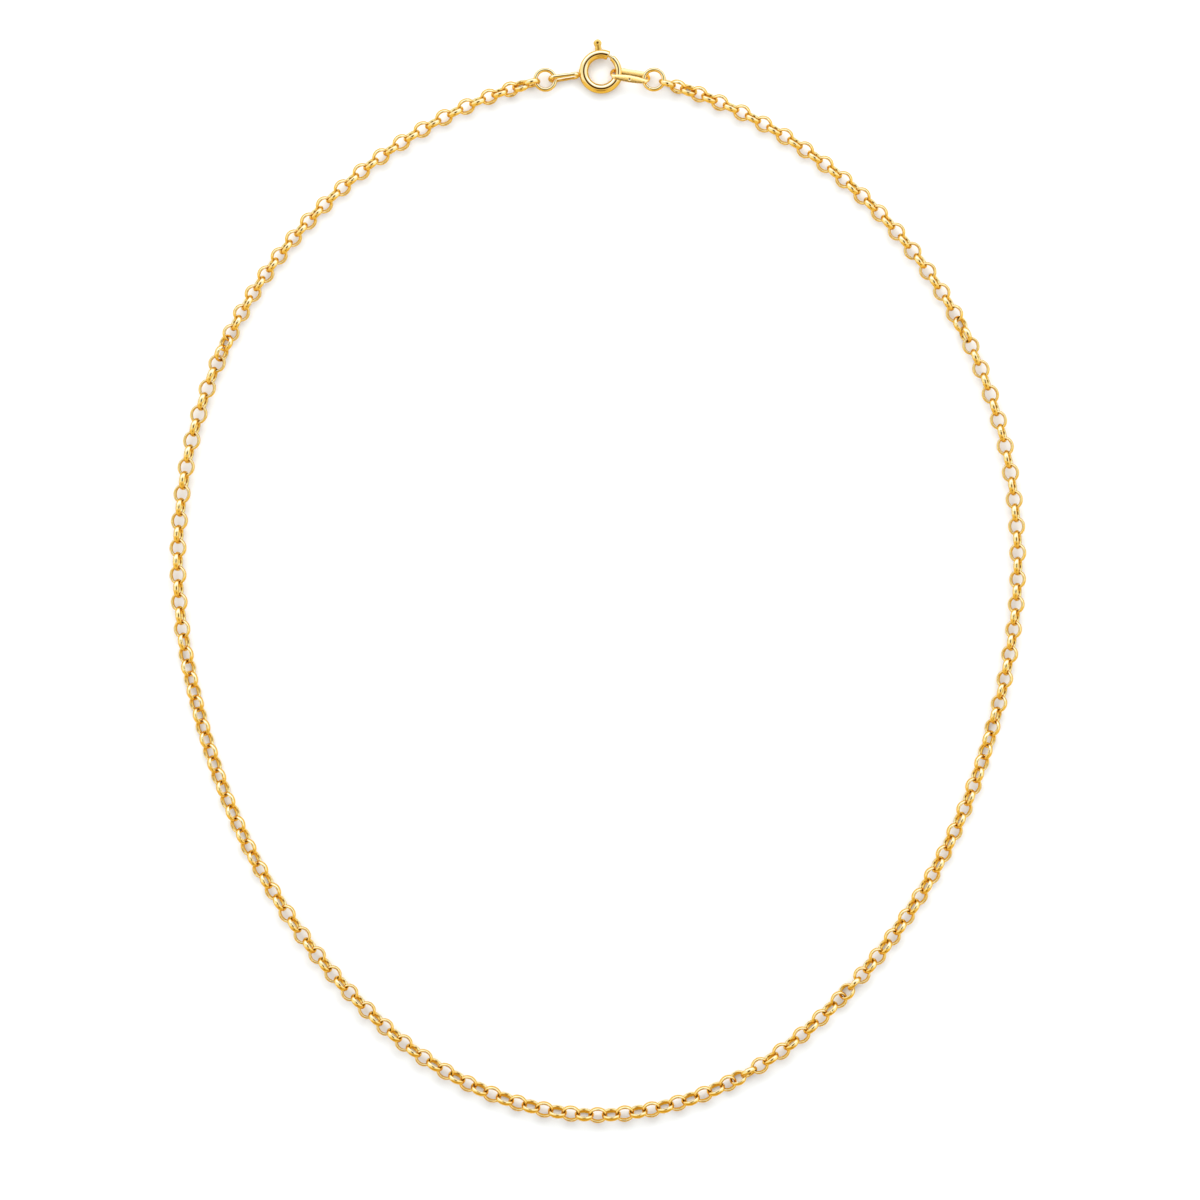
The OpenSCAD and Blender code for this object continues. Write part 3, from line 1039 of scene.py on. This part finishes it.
def overhead_gap(tree, p, q):
    """Masks of a long oval near the zenith and of the soft rim round it."""
    c, s = math.cos(math.radians(GAP_TURN)), math.sin(math.radians(GAP_TURN))
    dp = math_node(tree, "SUBTRACT", p, GAP_MIDDLE[0])
    dq = math_node(tree, "SUBTRACT", q, GAP_MIDDLE[1])
    parts = []
    for (a, b), half in zip(((c, s), (-s, c)), GAP_HALF):
        terms = [math_node(tree, "MULTIPLY", dp, a), math_node(tree, "MULTIPLY", dq, b)]
        along = math_node(tree, "ADD", *terms)
        parts.append(math_node(tree, "POWER", math_node(tree, "DIVIDE", along, half), 2))
    reach = math_node(tree, "ADD", *parts)
    core = map_node(tree, reach, *GAP_EDGE, 1, 0, smooth=True)
    rim = map_node(tree, reach, *RIM_REACH, 1, 0, smooth=True)
    return core, rim


def grey_levels(tree, room):
    """The room's grey light as a colour, as shares of the brightest level."""
    share = math_node(tree, "DIVIDE", room, BOX_LEVEL)
    grey = tree.nodes.new("ShaderNodeCombineColor")
    for socket in grey.inputs:
        tree.links.new(share, socket)
    return grey.outputs["Color"]


def level_share(level):
    return tuple(c / BOX_LEVEL for c in level)


def patched(tree, colour, patches):
    """A colour with patches laid over it, as shares of the brightest level."""
    for mask, level in patches:
        colour = mix_node(tree, mask, colour, level_share(level))
    return colour


def background(tree, colour):
    node = tree.nodes.new("ShaderNodeBackground")
    node.inputs["Strength"].default_value = BOX_LEVEL
    tree.links.new(colour, node.inputs["Color"])
    return node.outputs[0]


def mix_shaders(tree, factor, a, b):
    node = tree.nodes.new("ShaderNodeMixShader")
    link_nodes(tree, [(factor, node.inputs[0]), (a, node.inputs[1]), (b, node.inputs[2])])
    return node.outputs[0]


def room_masks(tree, x, y, z):
    """Masks of the parts of the room: near side, right, left, box, doorway, rim and gap."""
    height = math_node(tree, "MAXIMUM", z, 0.02)
    p = math_node(tree, "DIVIDE", x, height)
    q = math_node(tree, "DIVIDE", y, height)
    low, high = (math.cos(math.radians(tilt)) for tilt in reversed(BOX_TILT))
    tilted = band(tree, z, low, high, BOX_SOFT)
    far_side = side_of(tree, x, y, NEAR_SIDE)
    near_side = math_node(tree, "SUBTRACT", 1.0, far_side)
    off_zenith = map_node(tree, q, *NEAR_Q, 1, 0, smooth=True)
    gap, rim = overhead_gap(tree, p, q)
    return {
        "near": math_node(tree, "MULTIPLY", near_side, off_zenith),
        "right": window(tree, p, q, RIGHT_P, RIGHT_Q),
        "left": window(tree, p, q, LEFT_P, LEFT_Q),
        "box": math_node(tree, "MULTIPLY", tilted, side_of(tree, x, y, BOX_SIDE)),
        "dark": window(tree, p, q, DARK_P, DARK_Q),
        "rim": rim,
        "gap": gap,
    }


def show_room(tree, glow, glint):
    """The room's light on the floor, its look in polished metal and the plain backdrop."""
    path = tree.nodes.new("ShaderNodeLightPath")
    lights = [background(tree, colour) for colour in (glow, glint)]
    lit = mix_shaders(tree, path.outputs["Is Glossy Ray"], *lights)
    seen = tree.nodes.new("ShaderNodeBackground")
    seen.inputs["Color"].default_value = (*BACKDROP, 1)
    shown = mix_shaders(tree, path.outputs["Is Camera Ray"], lit, seen.outputs[0])
    out = tree.nodes.new("ShaderNodeOutputWorld")
    tree.links.new(shown, out.inputs["Surface"])


def studio():
    """A soft box on the +Y side, panels left and right, a dark gap overhead and a pale room."""
    world = bpy.data.worlds.new("studio")
    bpy.context.scene.world = world
    world.use_nodes = True
    tree = world.node_tree
    tree.nodes.clear()
    x, y, z = split_node(tree, tree.nodes.new("ShaderNodeTexCoord").outputs["Generated"])
    mask = room_masks(tree, x, y, z)
    room = map_node(tree, z, 0.0, ROOM_FROM, HORIZON_LEVEL, ROOM_LEVEL)
    glow = patched(tree, grey_levels(tree, room), [
        (mask["right"], (RIGHT_LEVEL,) * 3),
        (mask["left"], (LEFT_LEVEL,) * 3),
        (mask["box"], (BOX_LEVEL,) * 3),
        (mask["gap"], (GAP_LEVEL,) * 3),
    ])
    walls = mix_node(tree, mask["near"], level_share(ROOM_GLINT), level_share(NEAR_GLINT))
    glint = patched(tree, walls, [
        (mask["right"], RIGHT_GLINT),
        (mask["left"], LEFT_GLINT),
        (mask["box"], BOX_GLINT),
        (mask["dark"], DARK_GLINT),
        (mask["rim"], RIM_GLINT),
        (mask["gap"], GAP_GLINT),
    ])
    show_room(tree, glow, glint)


# Camera

VIEW_W = 187.2 * MM            # width of the picture where the chain lies
VIEW_X = 0.34 * MM
VIEW_Y = -2.89 * MM
CHAIN_MID = 1.2 * MM


def camera():
    """Straight above the loop, far off through a long lens."""
    data = bpy.data.cameras.new("camera")
    data.lens = 150
    data.sensor_width = 36
    data.clip_start = 0.01
    data.clip_end = 10
    obj = bpy.data.objects.new("camera", data)
    distance = VIEW_W * data.lens / data.sensor_width
    obj.location = (VIEW_X, VIEW_Y, CHAIN_MID + distance)
    bpy.context.scene.collection.objects.link(obj)
    bpy.context.scene.camera = obj


chains()
clasp_case()
clasp_bolt()
jump_ring("jump_ring_left", 60)
jump_ring("jump_ring_right", 250)
catch_tag()
floor()
flag()
studio()
camera()
bpy.context.scene.view_settings.view_transform = "Standard"
